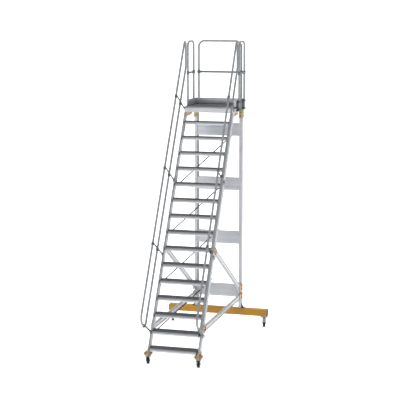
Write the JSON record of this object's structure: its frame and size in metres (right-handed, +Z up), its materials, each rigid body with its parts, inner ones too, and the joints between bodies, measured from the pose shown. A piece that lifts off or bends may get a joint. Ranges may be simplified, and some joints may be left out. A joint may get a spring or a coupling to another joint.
{
  "type": "rolling warehouse ladder",
  "caption": "Mobile platform stair in aluminium: open treads, looped handrails, guarded platform, rear posts on an ochre crossbeam, braked swivel castors.",
  "frame": {"origin": "on the floor, in the middle of the whole stair seen from above", "axes": "+Z up, +X to the right for a person climbing, +Y from the lowest tread towards the rear posts"},
  "size_m": [1.788, 3.0376, 4.9235],
  "materials": {
    "aluminium": "satin",
    "tread_aluminium": "satin",
    "zinc": "satin",
    "orange_casting": "satin",
    "yellow_casting": "satin",
    "ochre_paint": "satin",
    "black_rubber": "matte",
    "black_steel": "matte"
  },
  "bodies": {
    "root": {"tread_01": "tread_aluminium", "tread_02": "tread_aluminium", "tread_03": "tread_aluminium", "tread_04": "tread_aluminium", "tread_05": "tread_aluminium", "tread_06": "tread_aluminium", "tread_07": "tread_aluminium", "tread_08": "tread_aluminium", "tread_09": "tread_aluminium", "tread_10": "tread_aluminium", "tread_11": "tread_aluminium", "tread_12": "tread_aluminium", "tread_13": "tread_aluminium", "tread_14": "tread_aluminium", "tread_15": "tread_aluminium", "stringer_left": "aluminium", "stringer_right": "aluminium", "flight_brace_1": "aluminium", "flight_brace_2": "aluminium", "flight_brace_3": "aluminium", "flight_brace_4": "aluminium", "platform_deck": "tread_aluminium", "platform_frame": "aluminium", "toe_board_left": "aluminium", "toe_board_right": "aluminium", "toe_board_rear": "aluminium", "rear_post_left": "aluminium", "rear_post_right": "aluminium", "cross_panel_1": "aluminium", "cross_panel_2": "aluminium", "cross_panel_3": "aluminium", "cross_panel_4": "aluminium", "strut_upper_left": "aluminium", "strut_upper_right": "aluminium", "strut_lower_left": "aluminium", "strut_lower_right": "aluminium", "rear_beam": "ochre_paint", "foot_casting_left": "yellow_casting", "foot_casting_right": "yellow_casting", "stringer_head_bracket_left": "orange_casting", "stringer_head_bracket_right": "orange_casting", "post_head_bracket_left": "orange_casting", "post_head_bracket_right": "orange_casting", "handrail_left": "aluminium", "handrail_right": "aluminium", "guard_rail_left": "aluminium", "guard_rail_right": "aluminium", "guard_rail_rear": "aluminium"},
    "castor_front_left_swivel": {"castor_fork_front_left": "zinc"},
    "castor_front_left_wheel": {"castor_wheel_front_left": "black_rubber"},
    "castor_front_left_pedal": {"brake_pedal_front_left": "black_steel"},
    "castor_front_right_swivel": {"castor_fork_front_right": "zinc"},
    "castor_front_right_wheel": {"castor_wheel_front_right": "black_rubber"},
    "castor_front_right_pedal": {"brake_pedal_front_right": "black_steel"},
    "castor_rear_left_swivel": {"castor_fork_rear_left": "zinc"},
    "castor_rear_left_wheel": {"castor_wheel_rear_left": "black_rubber"},
    "castor_rear_left_pedal": {"brake_pedal_rear_left": "black_steel"},
    "castor_rear_right_swivel": {"castor_fork_rear_right": "zinc"},
    "castor_rear_right_wheel": {"castor_wheel_rear_right": "black_rubber"},
    "castor_rear_right_pedal": {"brake_pedal_rear_right": "black_steel"}
  },
  "joints": [
    {"name": "castor_front_left_swivels", "type": "hinge", "parent": "root", "child": "castor_front_left_swivel", "pos_m": [-0.408, -1.2815, 0.125], "axis": [0, 0, 1], "continuous": true},
    {"name": "castor_front_left_rolls", "type": "hinge", "parent": "castor_front_left_swivel", "child": "castor_front_left_wheel", "pos_m": [-0.40093, -1.31476, 0.05], "axis": [0.9781, 0.2079, 0], "continuous": true},
    {"name": "brake_front_left_lifts", "type": "hinge", "parent": "castor_front_left_swivel", "child": "castor_front_left_pedal", "pos_m": [-0.39802, -1.32845, 0.108], "axis": [-0.9781, -0.2079, 0], "range_deg": [0, 20]},
    {"name": "castor_front_right_swivels", "type": "hinge", "parent": "root", "child": "castor_front_right_swivel", "pos_m": [0.408, -1.2815, 0.125], "axis": [0, 0, 1], "continuous": true},
    {"name": "castor_front_right_rolls", "type": "hinge", "parent": "castor_front_right_swivel", "child": "castor_front_right_wheel", "pos_m": [0.41507, -1.31476, 0.05], "axis": [0.9781, 0.2079, 0], "continuous": true},
    {"name": "brake_front_right_lifts", "type": "hinge", "parent": "castor_front_right_swivel", "child": "castor_front_right_pedal", "pos_m": [0.41798, -1.32845, 0.108], "axis": [-0.9781, -0.2079, 0], "range_deg": [0, 20]},
    {"name": "castor_rear_left_swivels", "type": "hinge", "parent": "root", "child": "castor_rear_left_swivel", "pos_m": [-0.826, 1.4125, 0.177], "axis": [0, 0, 1], "continuous": true},
    {"name": "castor_rear_left_rolls", "type": "hinge", "parent": "castor_rear_left_swivel", "child": "castor_rear_left_wheel", "pos_m": [-0.81893, 1.37924, 0.0625], "axis": [0.9781, 0.2079, 0], "continuous": true},
    {"name": "brake_rear_left_lifts", "type": "hinge", "parent": "castor_rear_left_swivel", "child": "castor_rear_left_pedal", "pos_m": [-0.81602, 1.36555, 0.16], "axis": [-0.9781, -0.2079, 0], "range_deg": [0, 20]},
    {"name": "castor_rear_right_swivels", "type": "hinge", "parent": "root", "child": "castor_rear_right_swivel", "pos_m": [0.826, 1.4125, 0.177], "axis": [0, 0, 1], "continuous": true},
    {"name": "castor_rear_right_rolls", "type": "hinge", "parent": "castor_rear_right_swivel", "child": "castor_rear_right_wheel", "pos_m": [0.83307, 1.37924, 0.0625], "axis": [0.9781, 0.2079, 0], "continuous": true},
    {"name": "brake_rear_right_lifts", "type": "hinge", "parent": "castor_rear_right_swivel", "child": "castor_rear_right_pedal", "pos_m": [0.83598, 1.36555, 0.16], "axis": [-0.9781, -0.2079, 0], "range_deg": [0, 20]}
  ]
}
